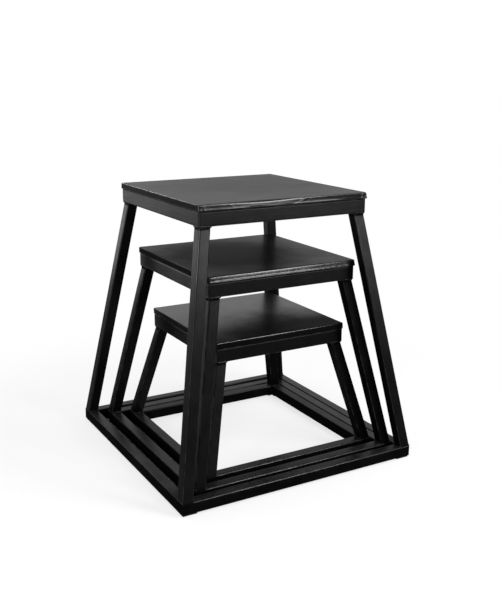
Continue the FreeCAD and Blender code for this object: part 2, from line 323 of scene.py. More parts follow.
def coatFinish(name, shift, box, part):
    look = coatLook
    shares = look["shares"]
    roughened = look["roughened"]
    patchy = look["patchy"]
    material, wire = newFinish(name)
    spot = place(wire, shift=shift)
    cloud = speckle(wire, spot, look["cloudSize"], detail=4)
    fleck = speckle(wire, spot, look["fleckSize"], detail=2)
    peel = speckle(wire, spot, look["peelSize"], detail=2, rough=0.4)
    edge = rounding(wire)
    # rubbed edges, partly wear and partly a painted highlight along the edges
    rub = edge * fade(wire, speckle(wire, spot, look["rubSize"], detail=4), *look["rubbed"])
    lines = speckle(wire, place(wire, look["scratchStretch"], shift), look["scratchWidth"], detail=1)
    patches = speckle(wire, spot, look["scratchPatch"], detail=2)
    scratch = fade(wire, lines, *look["scratched"]) * fade(wire, patches, *look["scratchedPatch"])
    grit = speckle(wire, spot, look["dustSize"], detail=5, rough=0.65)
    settled = upward(wire) * fade(wire, grit, *look["dusty"])
    base = mottled(wire, cloud, look["colour"], look["stray"])
    base = tint(wire, settled * shares["dust"], base, rgb(look["dust"], warm=0.02))
    # painted highlight, partly wear: the rubbed edges are tinted lighter
    base = tint(wire, rub * shares["baseRubAndHighlight" if part == "base" else "rub"], base, rgb(look["wearAndHighlight"]))
    base = tint(wire, scratch * shares["scratch"], base, rgb(look["wearAndHighlight"]))
    rough = look["roughness"] + sway(cloud, roughened["cloud"]) + sway(fleck, roughened["fleck"])
    rough = rough + rub * roughened["rub"] + settled * roughened["dust"]
    blotches = 1 + sway(cloud, patchy["cloud"]) + sway(fleck, patchy["fleck"])
    blotches = blotches * within(settled, patchy["dust"])
    marks = {"edge": edge, "rub": rub, "fleck": fleck, "patchy": blotches, "shift": shift}
    film = coatFilms[part](wire, box, marks)
    relief = peel + fleck * look["relief"]["fleck"] + scratch * look["relief"]["scratch"]
    closeFinish(wire, {
        "Base Color": base,
        "Roughness": rough,
        "Specular IOR Level": 0.0 if part == "base" else look[box]["specular"],
        "Coat Weight": film,
        "Coat Roughness": look["filmRoughness"],
        "Normal": raised(wire, relief, look["peelHeight"], look["peelStrength"]),
    })
    return material


# grained vinyl of the deck covers

vinylLook = {
    "colour": 0.003,
    "stray": 0.2,
    "groove": 0.45,                 # share of the colour left between the pebbles of the grain
    "scuffed": 0.016,               # colour of scuffs and rubbed edges
    "shares": {"groove": 0.5, "scuff": 0.35, "rub": 0.5},
    "specular": 0.004,
    "roughness": 0.40,
    "roughened": {"tread": 0.15, "cloud": 0.08, "streak": 0.12, "scuff": 0.06},
    "cloudSize": 0.07,
    "grainSize": 0.0018,
    "grainHeight": 0.00006,
    "grainStrength": 0.45,
    "pebbled": (0.0, 0.28),
    "drift": {"scale": 170.0, "detail": 2.0, "share": 0.0012},     # bends the grain
    "streakWidth": 0.0035,
    "streakStretch": (0.06, 1, 1),
    "scuffSize": 0.02,
    "scuffStretch": (0.35, 1, 1),
    "scuffs": (0.56, 0.78),
    "rubSize": 0.006,
    "rubbed": (0.4, 0.65),
    "relief": {"pebble": 0.7, "streak": 0.6},
    # the gloss is a thin skin on the vinyl
    "edgeSkin": 0.20,               # its roughness where it is stretched over the edges
    "uneven": {"streak": 0.6, "cloud": 0.3},
    "treadSway": 0.1,
    "edgeLeftward": (0.3, 0.6),
    "pebbleShine": 0.15,
    # roughness of the skin on top, its share on the top, on the front, on the other sides, on
    # the edges and on the left edge, the share lost where it is trodden, the middle, core and
    # reach of that patch, and the length of the dull right corner
    "tall": {"skin": 0.26, "top": 0.32, "front": 0.15, "side": 0.06, "edge": 0.9, "leftEdge": 0.8,
             "trodden": 0.04, "tread": (0.06, 0.05), "core": 0.3, "reach": 0.30, "dull": 0.004},
    "medium": {"skin": 0.29, "top": 0.29, "front": 0.40, "side": 0.0, "edge": 0.9, "leftEdge": 0.35,
               "trodden": 0.72, "tread": (-0.03, 0.0), "core": 0.35, "reach": 0.25, "dull": 0.022},
    "small": {"skin": 0.34, "top": 0.80, "front": 0.0, "side": 0.05, "edge": 0.9, "leftEdge": 0.15,
              "trodden": 0.92, "tread": (0.08, -0.30), "core": 0.55, "reach": 0.36, "dull": 0.020},
}


def pebbleGrain(wire, spot):
    # 0 in the grooves of the grain, 1 on its pebbles
    look = vinylLook
    drift = look["drift"]
    bend = {"Vector": spot, "Scale": drift["scale"], "Detail": drift["detail"]}
    bend = wire.node("ShaderNodeTexNoise", {}, bend, "Color")
    bent = wire.node("ShaderNodeMix", {"data_type": "VECTOR"}, {0: drift["share"], 4: spot, 5: bend}, 1)
    grain = {"Vector": bent, "Scale": 1 / look["grainSize"]}
    cells = wire.node("ShaderNodeTexVoronoi", {"feature": "DISTANCE_TO_EDGE"}, grain)
    return fade(wire, cells, *look["pebbled"])


def treadPatch(wire, own, cloud):
    # 1 on the trodden middle of a deck
    away = place(wire, (1, 1, 0), (-own["tread"][0], -own["tread"][1], 0))
    away = wire.node("ShaderNodeVectorMath", {"operation": "LENGTH"}, {0: away}, "Value")
    away = away + sway(cloud, vinylLook["treadSway"])
    return fade(wire, away, own["reach"] * own["core"], own["reach"], 1.0, 0.0)


def vinylFinish(name, shift, box, onTop):
    look = vinylLook
    own = look[box]
    shares = look["shares"]
    roughened = look["roughened"]
    uneven = look["uneven"]
    material, wire = newFinish(name)
    spot = place(wire, shift=shift)
    pebble = pebbleGrain(wire, spot)
    streak = speckle(wire, place(wire, look["streakStretch"], shift), look["streakWidth"])
    cloud = speckle(wire, spot, look["cloudSize"], detail=4)
    along = place(wire, look["scuffStretch"], shift)
    scuff = speckle(wire, along, look["scuffSize"], detail=5, rough=0.62)
    edge = rounding(wire)
    flat = upward(wire)
    front = forward(wire)
    scuff = fade(wire, scuff, *look["scuffs"]) * flat
    rub = edge * fade(wire, speckle(wire, spot, look["rubSize"], detail=2), *look["rubbed"])
    trodden = treadPatch(wire, own, cloud) * flat
    base = mottled(wire, cloud, look["colour"], look["stray"])
    base = tint(wire, (1 - pebble) * shares["groove"], base, rgb(look["colour"] * look["groove"]))
    base = tint(wire, scuff * shares["scuff"], base, rgb(look["scuffed"]))
    base = tint(wire, rub * shares["rub"], base, rgb(look["scuffed"]))
    rough = look["roughness"] + trodden * roughened["tread"] + scuff * roughened["scuff"]
    rough = rough + sway(cloud, roughened["cloud"]) + sway(streak, roughened["streak"])
    film = own["side"] * (1 - flat) * (1 - front) + front * own["front"]
    top = flat * own["top"] * (1 - trodden * own["trodden"])
    film = film + top * (1 + sway(streak, uneven["streak"]) + sway(cloud, uneven["cloud"]))
    onLeft = leftward(wire, *look["edgeLeftward"])
    arris = edge * fade(wire, onLeft, 0.0, 1.0, own["edge"], own["leftEdge"])
    film = film.larger(arris) * (1 - look["pebbleShine"] + pebble * look["pebbleShine"])
    if not onTop:
        film = film * dullEnd(wire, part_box(f"{box}_deck_cover")[1].x, own["dull"])
    relief = pebble * look["relief"]["pebble"] + streak * look["relief"]["streak"]
    closeFinish(wire, {
        "Base Color": base,
        "Roughness": rough,
        "Specular IOR Level": look["specular"],
        "Coat Weight": film,
        "Coat Roughness": own["skin"] if onTop else look["edgeSkin"],
        "Normal": raised(wire, relief, look["grainHeight"], look["grainStrength"]),
    })
    return material


# stained plywood of the deck boards

plyLook = {
    "colour": 0.012,
    "pale": 0.026,
    "specular": 0.3,
    "roughness": 0.62,
    "roughened": {"cloud": 0.2, "pores": 0.1},
    "cloudSize": 0.09,
    "grainSize": 0.0035,
    "grainStretch": (0.06, 1, 1),
    "grained": (0.35, 0.7),
    "grainHeight": 0.00012,
    "grainStrength": 0.5,
    "grainRelief": 0.6,
    "poreWidth": 0.0009,
    "poreStretch": (0.04, 1, 1),
    "pored": (0.6, 0.72),
    "poreShare": 0.7,
    "poreDark": 0.4,
}


def plyFinish(name, shift):
    look = plyLook
    material, wire = newFinish(name)
    along = place(wire, look["grainStretch"], shift)
    grain = speckle(wire, along, look["grainSize"], detail=5, rough=0.6)
    pores = speckle(wire, place(wire, look["poreStretch"], shift), look["poreWidth"], detail=2)
    pores = fade(wire, pores, *look["pored"])
    cloud = speckle(wire, place(wire, shift=shift), look["cloudSize"])
    base = fade(wire, grain, *look["grained"])
    base = tint(wire, base, rgb(look["colour"], warm=0.12), rgb(look["pale"], warm=0.16))
    base = tint(wire, pores * look["poreShare"], base, rgb(look["colour"] * look["poreDark"]))
    rough = look["roughness"] + sway(cloud, look["roughened"]["cloud"])
    relief = grain * look["grainRelief"] - pores
    closeFinish(wire, {
        "Base Color": base,
        "Roughness": rough + pores * look["roughened"]["pores"],
        "Specular IOR Level": look["specular"],
        "Normal": raised(wire, relief, look["grainHeight"], look["grainStrength"]),
    })
    return material


# rubber of the foot pads

padLook = {
    "colour": 0.008,
    "bloom": 0.022,                 # pale bloom on old rubber
    "bloomSize": 0.011,
    "bloomed": (0.48, 0.75),
    "bloomShare": 0.5,
    "specular": 0.25,
    "roughness": 0.72,
    "crumbRough": 0.2,
    "crumbSize": 0.0014,
    "crumbHeight": 0.00012,
    "crumbStrength": 0.6,
}


def padFinish(name):
    look = padLook
    material, wire = newFinish(name)
    spot = place(wire)
    crumb = speckle(wire, spot, look["crumbSize"])
    bloom = fade(wire, speckle(wire, spot, look["bloomSize"], detail=4), *look["bloomed"])
    closeFinish(wire, {
        "Base Color": tint(wire, bloom * look["bloomShare"], rgb(look["colour"]), rgb(look["bloom"])),
        "Roughness": look["roughness"] + sway(crumb, look["crumbRough"]),
        "Specular IOR Level": look["specular"],
        "Normal": raised(wire, crumb, look["crumbHeight"], look["crumbStrength"]),
    })
    return material


# zinc of the deck screws

zincLook = {
    "colour": 0.30,
    "dull": 0.16,
    "cloudSize": 0.003,
    "clouded": (0.35, 0.7),
    "roughness": 0.38,
    "cloudRough": 0.2,
    "brushRough": 0.1,
    "brushWidth": 0.0004,
    "brushHeight": 0.00004,
    "brushStrength": 0.3,
}


def zincFinish(name):
    look = zincLook
    material, wire = newFinish(name)
    spot = place(wire)
    cloud = fade(wire, speckle(wire, spot, look["cloudSize"], detail=4), *look["clouded"])
    brushed = speckle(wire, spot, look["brushWidth"], detail=2)
    rough = look["roughness"] + cloud * look["cloudRough"] + sway(brushed, look["brushRough"])
    closeFinish(wire, {
        "Base Color": tint(wire, cloud, rgb(look["colour"], warm=0.02), rgb(look["dull"], warm=0.04)),
        "Roughness": rough,
        "Metallic": 1.0,
        "Normal": raised(wire, brushed, look["brushHeight"], look["brushStrength"]),
    })
    return material


boxShift = Vector((0.37, 0.61, 0.23))   # moves the noise on, so that no two boxes look the same
finishes = {}
for index, box in enumerate(boxes):
    shift = boxShift * index
    finishes[box] = {
        "coat": coatFinish(f"{box}_coat", shift, box, "legs"),
        "base": coatFinish(f"{box}_base", shift, box, "base"),
        "weld": coatFinish(f"{box}_weld", shift, box, "weld"),
        "vinyl": vinylFinish(f"{box}_vinyl", shift, box, True),
        "vinylEdge": vinylFinish(f"{box}_vinyl_edge", shift, box, False),
        "ply": plyFinish(f"{box}_ply", shift),
    }
padRubber = padFinish("pad_rubber")
zincScrew = zincFinish("zinc_screw")
print("finishes made")


def dress(piece, material):
    piece.data.materials.clear()
    piece.data.materials.append(material)


for name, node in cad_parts.items():
    box = name.split("_")[0]
    if name.endswith("deck_board"):
        dress(node, finishes[box]["ply"])
    elif name.endswith("foot_pads"):
        dress(node, padRubber)
    elif name.endswith("deck_screws"):
        dress(node, zincScrew)
    elif name.endswith("deck_cover"):
        dress(node, finishes[box]["vinyl"])
    elif "base_rail" in name:
        dress(node, finishes[box]["base"])
    else:
        dress(node, finishes[box]["coat"])
print("nodes dressed")


# what the added pieces share

def addPiece(name, mesh, body, material):
    for face in mesh.faces:
        face.smooth = True
    bmesh.ops.recalc_face_normals(mesh, faces=mesh.faces[:])
    data = bpy.data.meshes.new(name)
    mesh.to_mesh(data)
    mesh.free()
    piece = bpy.data.objects.new(name, data)
    scene.collection.objects.link(piece)
    dress(piece, material)
    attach(piece, body)
    return piece


def bridge(mesh, first, second):
    # faces between two rings of points
    count = len(first)
    for i in range(count):
        j = (i + 1) % count
        mesh.faces.new((first[i], first[j], second[j], second[i]))


def skin(mesh, rings):
    # faces along a row of rings, closed at both ends
    for first, second in zip(rings, rings[1:]):
        bridge(mesh, first, second)
    mesh.faces.new(rings[0])
    mesh.faces.new(rings[-1])


def ease(low, high, value):
    t = min(1.0, max(0.0, (value - low) / (high - low)))
    return t * t * (3 - 2 * t)


def bell(value, middle, width):
    return math.exp(-((value - middle) / width) ** 2)


def between(first, second, share):
    return first + (second - first) * share


# deck covers, wrapped over the boards

coverLook = {
    "thick": 0.0015,
    "least": 0.0001,                # thinnest place of a side
    "corner": 0.006,
    "arris": 0.0026,                # radius of the upper edge
    "hem": 0.0007,                  # rounded lower edge
    "hemRound": 0.3,
    "hemTuck": 1.2,
    "step": 0.0025,                 # spacing of points along a side
    "cornerSteps": 12,
    "arrisSteps": 12,
    "sideSteps": 12,
    "topRings": (0.96, 0.6, 0.3, 0.12, 0.04, 0.015),    # shares of the way in to the middle
    "topFacing": 0.995,             # steeper faces get the finish of the edges
    "pleat": 0.0004,                # folded layers at the corners of the front and back sides
    "pleatReach": 0.010,
    "pleatLean": 0.35,
    "pleatSoft": 0.0006,
    "pleatEnd": 0.8,
    "fold": {"tall": 0.0020, "medium": 0.0014, "small": 0.0},   # thicker foot of the folded corners
    "pucker": 0.00012,
    "puckerFine": (110, 1.5),       # waves per metre along a side, and per height of it
    "puckerFade": (1.3, 0.5),       # share at the foot and at the head
    "puckerBroad": (28, 0.7),
    "broadShare": 1.5,
    "lipMiddle": 0.14,              # height of the lower lip, as a share of the side
    "lipWidth": 0.13,
    # for each side, how far the cover stands out at its foot and at its head, and how far its
    # lower lip swells
    "tall": {"front": (0.0001, 0.0, 0.0002), "right": (0.0002, -0.0003, 0.0003),
             "back": (0.0, -0.0005, 0.0003), "left": (-0.0012, 0.0010, 0.0)},
    "medium": {"front": (0.0008, -0.0006, 0.0004), "right": (0.0002, -0.0004, 0.0003),
               "back": (0.0, -0.0006, 0.0003), "left": (-0.0012, 0.0008, 0.0)},
    "small": {"front": (-0.0004, 0.0003, 0.0001), "right": (0.0, -0.0003, 0.0002),
              "back": (-0.0002, -0.0004, 0.0001), "left": (-0.0012, 0.0006, 0.0)},
    # loose stretches: side, middle, half length, swell of the lip, slack at the foot, and width
    # of the flat that is pulled on the upper edge
    "loose": {
        "tall": [("front", -0.150, 0.070, 0.0016, 0.0, 0.0018),
                 ("front", 0.095, 0.070, 0.0015, 0.0, 0.0),
                 ("front", -0.045, 0.075, 0.0, 0.0007, 0.0052),
                 ("front", 0.045, 0.035, 0.0011, 0.0, 0.0)],
        "medium": [("front", -0.050, 0.160, 0.0002, 0.0, 0.0019)],
        "small": [("front", -0.020, 0.090, 0.0001, 0.0, 0.0010)],
    },
    "flatTilt": 31,                 # degrees that the flat leans back
    "flatSpread": 8,
    # creases across a side: side, place at the head, place at the foot, height, width
    "creases": {
        "tall": [("front", 0.050, 0.025, 0.0006, 0.0045),
                 ("front", -0.140, -0.120, 0.0003, 0.003),
                 ("back", 0.080, 0.095, 0.0004, 0.004)],
        "medium": [("back", 0.090, 0.075, 0.0003, 0.004),
                   ("right", -0.060, -0.070, 0.0004, 0.003)],
        "small": [("left", 0.030, 0.050, 0.0003, 0.004),
                  ("back", -0.050, -0.062, 0.0004, 0.003)],
    },
    "creaseFade": 0.4,
}


def coverPucker(box, side, along, up):
    look = coverLook
    seed = len(side) + 7 * len(box)
    fine = Vector((along * look["puckerFine"][0], up * look["puckerFine"][1], seed))
    broad = Vector((along * look["puckerBroad"][0], up * look["puckerBroad"][1], seed + 50))
    share = between(*look["puckerFade"], up)
    return look["pucker"] * (noise.noise(fine) * share + look["broadShare"] * noise.noise(broad))


def coverStand(box, side, along, up, reach):
    # how far the cover stands out from a side, from foot (up 0) to head (up 1)
    look = coverLook
    foot, head, lip = look[box][side]
    out = between(foot, head, up)
    if side in ("front", "back"):
        edge = reach - look["pleatReach"] * (1 - look["pleatLean"] * up)
        folded = ease(edge - look["pleatSoft"], edge + look["pleatSoft"], abs(along))
        out = between(out, look["pleat"] * (1 - ease(look["pleatEnd"], 1.0, up)), folded)
    for where, middle, length, swell, slack, _ in look["loose"][box]:
        if where == side:
            lip += swell * bell(along, middle, length)
            out += slack * bell(along, middle, length) * (1 - up)
    out += lip * bell(up, look["lipMiddle"], look["lipWidth"])
    for where, top, bottom, height, width in look["creases"][box]:
        if where == side:
            out += height * bell(along, between(bottom, top, up), width) * (1 - look["creaseFade"] * up)
    out += coverPucker(box, side, along, up)
    return max(out, look["least"] - look["thick"])


def coverSection(box, side, along, reach, deep):
    # the cover's cross-section at one place on a side: out from the side, and height
    look = coverLook
    flat = 0.0
    for where, middle, length, _, _, wide in look["loose"][box]:
        if where == side:
            flat += wide * bell(along, middle, length)
    tilts = [90 * (1 - (i + 0.5) / look["arrisSteps"]) for i in range(look["arrisSteps"])]
    shares = [bell(tilt, look["flatTilt"], look["flatSpread"]) for tilt in tilts]
    turn = math.radians(90 / look["arrisSteps"])
    lengths = [look["arris"] * turn + flat * share / sum(shares) for share in shares]
    inset = sum(step * math.sin(math.radians(tilt)) for step, tilt in zip(lengths, tilts))
    height = deep
    section = [(coverStand(box, side, along, 1.0, reach) - inset, deep)]
    for step, tilt in zip(lengths, tilts):
        inset -= step * math.sin(math.radians(tilt))
        height -= step * math.cos(math.radians(tilt))
        section.append((coverStand(box, side, along, height / deep, reach) - inset, height))
    shoulder = height
    for i in range(1, look["sideSteps"] + 1):
        height = between(shoulder, look["hem"], i / look["sideSteps"])
        section.append((coverStand(box, side, along, height / deep, reach), height))
    foot = coverStand(box, side, along, 0.0, reach)
    hemRound = look["hemRound"] * look["hem"]
    section += [(foot - hemRound, hemRound), (foot - look["hem"], 0.0)]
    inner = -look["thick"]
    section += [(min(inner, foot - look["hemTuck"] * look["hem"]), 0.0), (inner, deep + inner)]
    return section


def cornerSection(first, second, share, fold, deep):
    # between the sections on either side of a corner, with the foot of the fold on its outside
    section = []
    for step, (a, b) in enumerate(zip(first, second)):
        stand = between(a[0], b[0], share)
        height = between(a[1], b[1], share)
        if step < len(first) - 2:   # the last two points are the inner face
            stand += fold * (1 - height / deep)
        section.append((stand, height))
    return section


def makeCover(box):
    look = coverLook
    low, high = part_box(f"{box}_deck_cover")
    middle = (low + high) / 2
    deep = high.z - low.z
    reach = (high.x - low.x) / 2 - look["corner"]
    count = int(2 * reach / look["step"])
    spots = []                      # place, outward direction and cross-section, all round the deck
    for index, side in enumerate(sides):
        turn = Matrix.Rotation(index * math.pi / 2, 2)
        for i in range(count):
            along = -reach + 2 * reach * i / count
            section = coverSection(box, side, along, reach, deep)
            spots.append((turn @ Vector((along, -reach)), turn @ Vector((0, -1)), section))
        first = coverSection(box, side, reach, reach, deep)
        second = coverSection(box, sides[(index + 1) % 4], -reach, reach, deep)
        for i in range(look["cornerSteps"]):
            share = i / look["cornerSteps"]
            out = Vector((math.sin(share * math.pi / 2), -math.cos(share * math.pi / 2)))
            fold = look["fold"][box] * math.sin(math.pi * share)
            section = cornerSection(first, second, share, fold, deep)
            spots.append((turn @ Vector((reach, -reach)), turn @ out, section))
    mesh = bmesh.new()

    def ring(step, inward=0.0):
        made = []
        for spot, out, section in spots:
            stand, height = section[step]
            flat = (spot + out * (look["corner"] + stand)) * (1 - inward)
            made.append(mesh.verts.new((middle.x + flat.x, middle.y + flat.y, low.z + height)))
        return made

    rings = [ring(0, inward) for inward in look["topRings"]]
    rings += [ring(step) for step in range(len(spots[0][2]))]
    rings.append(ring(-1, look["topRings"][0]))
    skin(mesh, rings)
    piece = addPiece(f"{box}_cover_wrap", mesh, box, finishes[box]["vinyl"])
    piece.data.materials.append(finishes[box]["vinylEdge"])
    for face in piece.data.polygons:
        face.material_index = 0 if face.normal.z > look["topFacing"] else 1
    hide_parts(f"{box}_deck_cover")


for box in boxes:
    makeCover(box)
print("deck covers wrapped")


# weld beads

weldLook = {
    "tube": 0.0254,
    "tubeRound": 0.003,
    "top": 0.0030,                  # bead round a leg under the top frame
    "topLift": 0.0006,
    "foot": 0.0024,                 # bead round a leg on the base frame
    "flush": 0.0007,                # how far it is ground inside the outer faces of that frame
    "corner": 0.0020,               # bead up the inside corner of a frame
    "margins": {"base": 0.004, "top": 0.005},   # left bare at both ends of that bead
    "tab": 0.0014,                  # beads along the two edges of a tab
    "tabRun": (0.008, 0.040),       # from and to, out of the corner
    "ripple": 0.0026,               # spacing of the ripples
    "rippleShare": 0.16,
    "strayRate": 160,
    "strayShare": 0.16,
    "segments": 10,
    "sideSteps": 22,
    "roundSteps": 5,
    "step": 0.0008,                 # spacing of points along a straight bead
    "fewestSteps": 8,
    "blunt": 0.12,                  # least thickness of a bead's end
}


def beadSize(distance, seed):
    look = weldLook
    wave = abs(math.sin(math.pi * distance / look["ripple"]))
    stray = noise.noise(Vector((distance * look["strayRate"], seed, 0.5)))
    return 1 - look["rippleShare"] * (1 - wave) + look["strayShare"] * stray


def legOutline():
    # places and outward directions round a leg's tube
    look = weldLook
    radius = look["tubeRound"]
    reach = look["tube"] / 2 - radius
    path = []
    for index in range(4):
        turn = Matrix.Rotation(index * math.pi / 2, 2)
        for i in range(look["sideSteps"]):
            along = -reach + 2 * reach * i / look["sideSteps"]
            path.append((turn @ Vector((along, -reach - radius)), turn @ Vector((0, -1))))
        for i in range(look["roundSteps"]):
            angle = math.pi / 2 * i / look["roundSteps"]
            out = Vector((math.sin(angle), -math.cos(angle)))
            path.append((turn @ (Vector((reach, -reach)) + out * radius), turn @ out))
    return path


def beadRing(mesh, middle, size, seed, low, high):
    # a closed bead on the line where a leg meets a frame, ground off outside low and high
    look = weldLook
    path = legOutline()
    rings = []
    distance = 0.0
    for i, (spot, out) in enumerate(path):
        distance += (spot - path[i - 1][0]).length
        r = size * beadSize(distance, seed)
        made = []
        for k in range(look["segments"]):
            t = 2 * math.pi * k / look["segments"]
            flat = spot + out * (r * math.cos(t))
            x = min(max(middle.x + flat.x, low.x), high.x)
            y = min(max(middle.y + flat.y, low.y), high.y)
            made.append(mesh.verts.new((x, y, middle.z + r * math.sin(t))))
        rings.append(made)
    for i in range(len(rings)):
        bridge(mesh, rings[i - 1], rings[i])


def beadLine(mesh, start, end, size, seed):
    # a straight bead with round ends
    look = weldLook
    run = end - start
    ahead = run.normalized()
    aside = ahead.orthogonal().normalized()
    across = ahead.cross(aside)
    count = max(look["fewestSteps"], int(run.length / look["step"]))
    rings = []
    for i in range(count + 1):
        share = i / count
        fromEnd = min(1.0, min(share, 1 - share) * run.length / size)
        tip = min(1.0, look["blunt"] + math.sqrt(1 - (1 - fromEnd) ** 2))
        r = size * beadSize(share * run.length, seed) * tip
        spot = start + run * share
        made = []
        for k in range(look["segments"]):
            t = 2 * math.pi * k / look["segments"]
            made.append(mesh.verts.new(spot + aside * (r * math.cos(t)) + across * (r * math.sin(t))))
        rings.append(made)
    skin(mesh, rings)


def insideCorners(box, kind):
    # the four inner corners of a frame, in plan
    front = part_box(f"{box}_{kind}_rail_front")[1].y
    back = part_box(f"{box}_{kind}_rail_back")[0].y
    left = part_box(f"{box}_{kind}_rail_left")[1].x
    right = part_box(f"{box}_{kind}_rail_right")[0].x
    return [(right, front), (right, back), (left, back), (left, front)]


def frameBox(box, kind, inset):
    # the outside of a frame, drawn in by this much
    drawnIn = Vector((inset, inset, 0))
    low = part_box(f"{box}_{kind}_rail_left")[0]
    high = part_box(f"{box}_{kind}_rail_right")[1]
    return low + drawnIn, high - drawnIn


def makeLegWelds(box, number):
    look = weldLook
    half = look["tube"] / 2
    mesh = bmesh.new()
    for index, corner in enumerate(corners):
        low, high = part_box(f"{box}_leg_{corner}")
        footX, topX = low.x + half, high.x - half
        footY, topY = low.y + half, high.y - half
        if "right" in corner:
            footX, topX = topX, footX
        if "back" in corner:
            footY, topY = topY, footY
        seed = number * 10 + index
        foot = Vector((footX, footY, low.z))
        beadRing(mesh, foot, look["foot"], seed, *frameBox(box, "base", look["flush"]))
        top = Vector((topX, topY, high.z + look["topLift"]))
        beadRing(mesh, top, look["top"], seed + 5, *frameBox(box, "top", -look["top"]))
    addPiece(f"{box}_leg_welds", mesh, box, finishes[box]["weld"])


def makeFrameWelds(box, number):
    look = weldLook
    mesh = bmesh.new()
    for kind, margin in look["margins"].items():
        low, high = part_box(f"{box}_{kind}_rail_front")
        for index, (x, y) in enumerate(insideCorners(box, kind)):
            start = Vector((x, y, low.z + margin))
            end = Vector((x, y, high.z - margin))
            beadLine(mesh, start, end, look["corner"], number * 10 + index)
    low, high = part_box(f"{box}_deck_tabs")
    middle = (low + high) / 2
    for index, (x, y) in enumerate(insideCorners(box, "top")):
        toX = math.copysign(1, middle.x - x)
        toY = math.copysign(1, middle.y - y)
        start, end = [Vector((x + toX * along, y, low.z)) for along in look["tabRun"]]
        beadLine(mesh, start, end, look["tab"], index + 40)
        start, end = [Vector((x, y + toY * along, low.z)) for along in look["tabRun"]]
        beadLine(mesh, start, end, look["tab"], index + 50)
    addPiece(f"{box}_frame_welds", mesh, box, finishes[box]["weld"])


for index, box in enumerate(boxes):
    makeLegWelds(box, index)
    makeFrameWelds(box, index)
print("welds laid")


# deck screws

screwLook = {
    "headRadius": 0.005,
    "headHeight": 0.0032,
    # the pan head from its middle outwards, as shares of its radius and height
    "headCurve": [(0.24, 1.0), (0.56, 0.97), (0.80, 0.82), (0.94, 0.55), (1.0, 0.2), (0.99, 0.0)],
    "shankRadius": 0.0025,
    "threadDepth": 0.0004,
    "threadPitch": 0.0018,
    "threadStart": 0.0006,
    "threadEnd": 0.001,             # length kept free of whole turns at the tip
    "tipLength": 0.0004,
    "tipShare": 0.5,
    "recessWidth": 0.0011,
    "recessReach": 0.0027,
    "recessDepth": 0.0019,
    "recessTaper": (0.45, 0.7),
    "recessClear": 0.001,
    "steps": 32,
    "firstTurn": 0.4,               # radians that the first screw is turned, and each one after it
    "nextTurn": 0.7,
}


def screwBlank(height):
    # a turned screw, head down, with its bearing face at z = 0
    look = screwLook
    root = look["shankRadius"] - look["threadDepth"]
    pitch = look["threadPitch"]
    profile = [(look["headRadius"] * r, -look["headHeight"] * h) for r, h in look["headCurve"]]
    profile.append((root, 0.0))
    for i in range(int((height - look["threadEnd"]) / pitch)):
        z = look["threadStart"] + i * pitch
        profile += [(root, z), (look["shankRadius"], z + pitch / 2)]
    profile += [(root, height - look["tipLength"]), (look["shankRadius"] * look["tipShare"], height)]
    mesh = bmesh.new()
    rings = []
    for radius, z in profile:
        ring = []
        for k in range(look["steps"]):
            t = 2 * math.pi * k / look["steps"]
            ring.append(mesh.verts.new((radius * math.cos(t), radius * math.sin(t), z)))
        rings.append(ring)
    skin(mesh, rings)
    return mesh


def screwRecess():
    # the tapered cross that is cut out of the head
    look = screwLook
    w = look["recessWidth"] / 2
    a = look["recessReach"]
    arm = [(a, w), (w, w), (w, a)]
    outline = []
    for _ in range(4):
        outline += arm
        arm = [(-y, x) for x, y in arm]
    mouth = -look["headHeight"] - look["recessClear"]
    deep = -look["headHeight"] + look["recessDepth"]
    taperX, taperY = look["recessTaper"]
    mesh = bmesh.new()
    outer = [mesh.verts.new((x, y, mouth)) for x, y in outline]
    inner = [mesh.verts.new((x * taperX, y * taperY, deep)) for x, y in outline]
    skin(mesh, [outer, inner])
    return mesh


def looseObject(name, mesh):
    bmesh.ops.recalc_face_normals(mesh, faces=mesh.faces[:])
    data = bpy.data.meshes.new(name)
    mesh.to_mesh(data)
    mesh.free()
    made = bpy.data.objects.new(name, data)
    scene.collection.objects.link(made)
    return made


def screwMesh(height):
    blank = looseObject("screw_blank", screwBlank(height))
    cutter = looseObject("screw_recess", screwRecess())
    carve = blank.modifiers.new("recess", "BOOLEAN")
    carve.operation = "DIFFERENCE"
    carve.object = cutter
    graph = bpy.context.evaluated_depsgraph_get()
    made = bpy.data.meshes.new_from_object(blank.evaluated_get(graph))
    bpy.data.objects.remove(blank)
    bpy.data.objects.remove(cutter)
    return made


def makeScrews(box):
    look = screwLook
    low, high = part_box(f"{box}_deck_screws")
    bearing = low.z + look["headHeight"]
    one = screwMesh(high.z - bearing)
    left, right = low.x + look["headRadius"], high.x - look["headRadius"]
    front, back = low.y + look["headRadius"], high.y - look["headRadius"]
    mesh = bmesh.new()
    for index, (x, y) in enumerate([(left, front), (right, front), (right, back), (left, back)]):
        turn = Matrix.Rotation(look["firstTurn"] + index * look["nextTurn"], 4, "Z")
        single = one.copy()
        single.transform(Matrix.Translation((x, y, bearing)) @ turn)
        mesh.from_mesh(single)
        bpy.data.meshes.remove(single)
    piece = addPiece(f"{box}_screws", mesh, box, zincScrew)
    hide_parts(f"{box}_deck_screws")


for box in boxes:
    makeScrews(box)
print("screws driven")


# camera

cameraLook = {
    "place": (-0.9267, -1.6756, 0.8523),
    "azimuth": -29.693,
    "elevation": 14.814,
    "roll": 0.23,
    "lens": 50.771,
    "sensor": 36,
}


def addCamera():
    look = cameraLook
    a = math.radians(look["azimuth"])
    e = math.radians(look["elevation"])
    back = Vector((math.sin(a) * math.cos(e), -math.cos(a) * math.cos(e), math.sin(e)))
    right = Vector((math.cos(a), math.sin(a), 0))
    turn = Matrix((right, back.cross(right), back)).transposed()
    turn = turn @ Matrix.Rotation(math.radians(look["roll"]), 3, "Z")
    data = bpy.data.cameras.new("camera")
    data.lens = look["lens"]
    data.sensor_width = look["sensor"]
    camera = bpy.data.objects.new("camera", data)
    camera.matrix_world = Matrix.Translation(look["place"]) @ turn.to_4x4()
    scene.collection.objects.link(camera)
    scene.camera = camera


addCamera()


# floor and backdrop

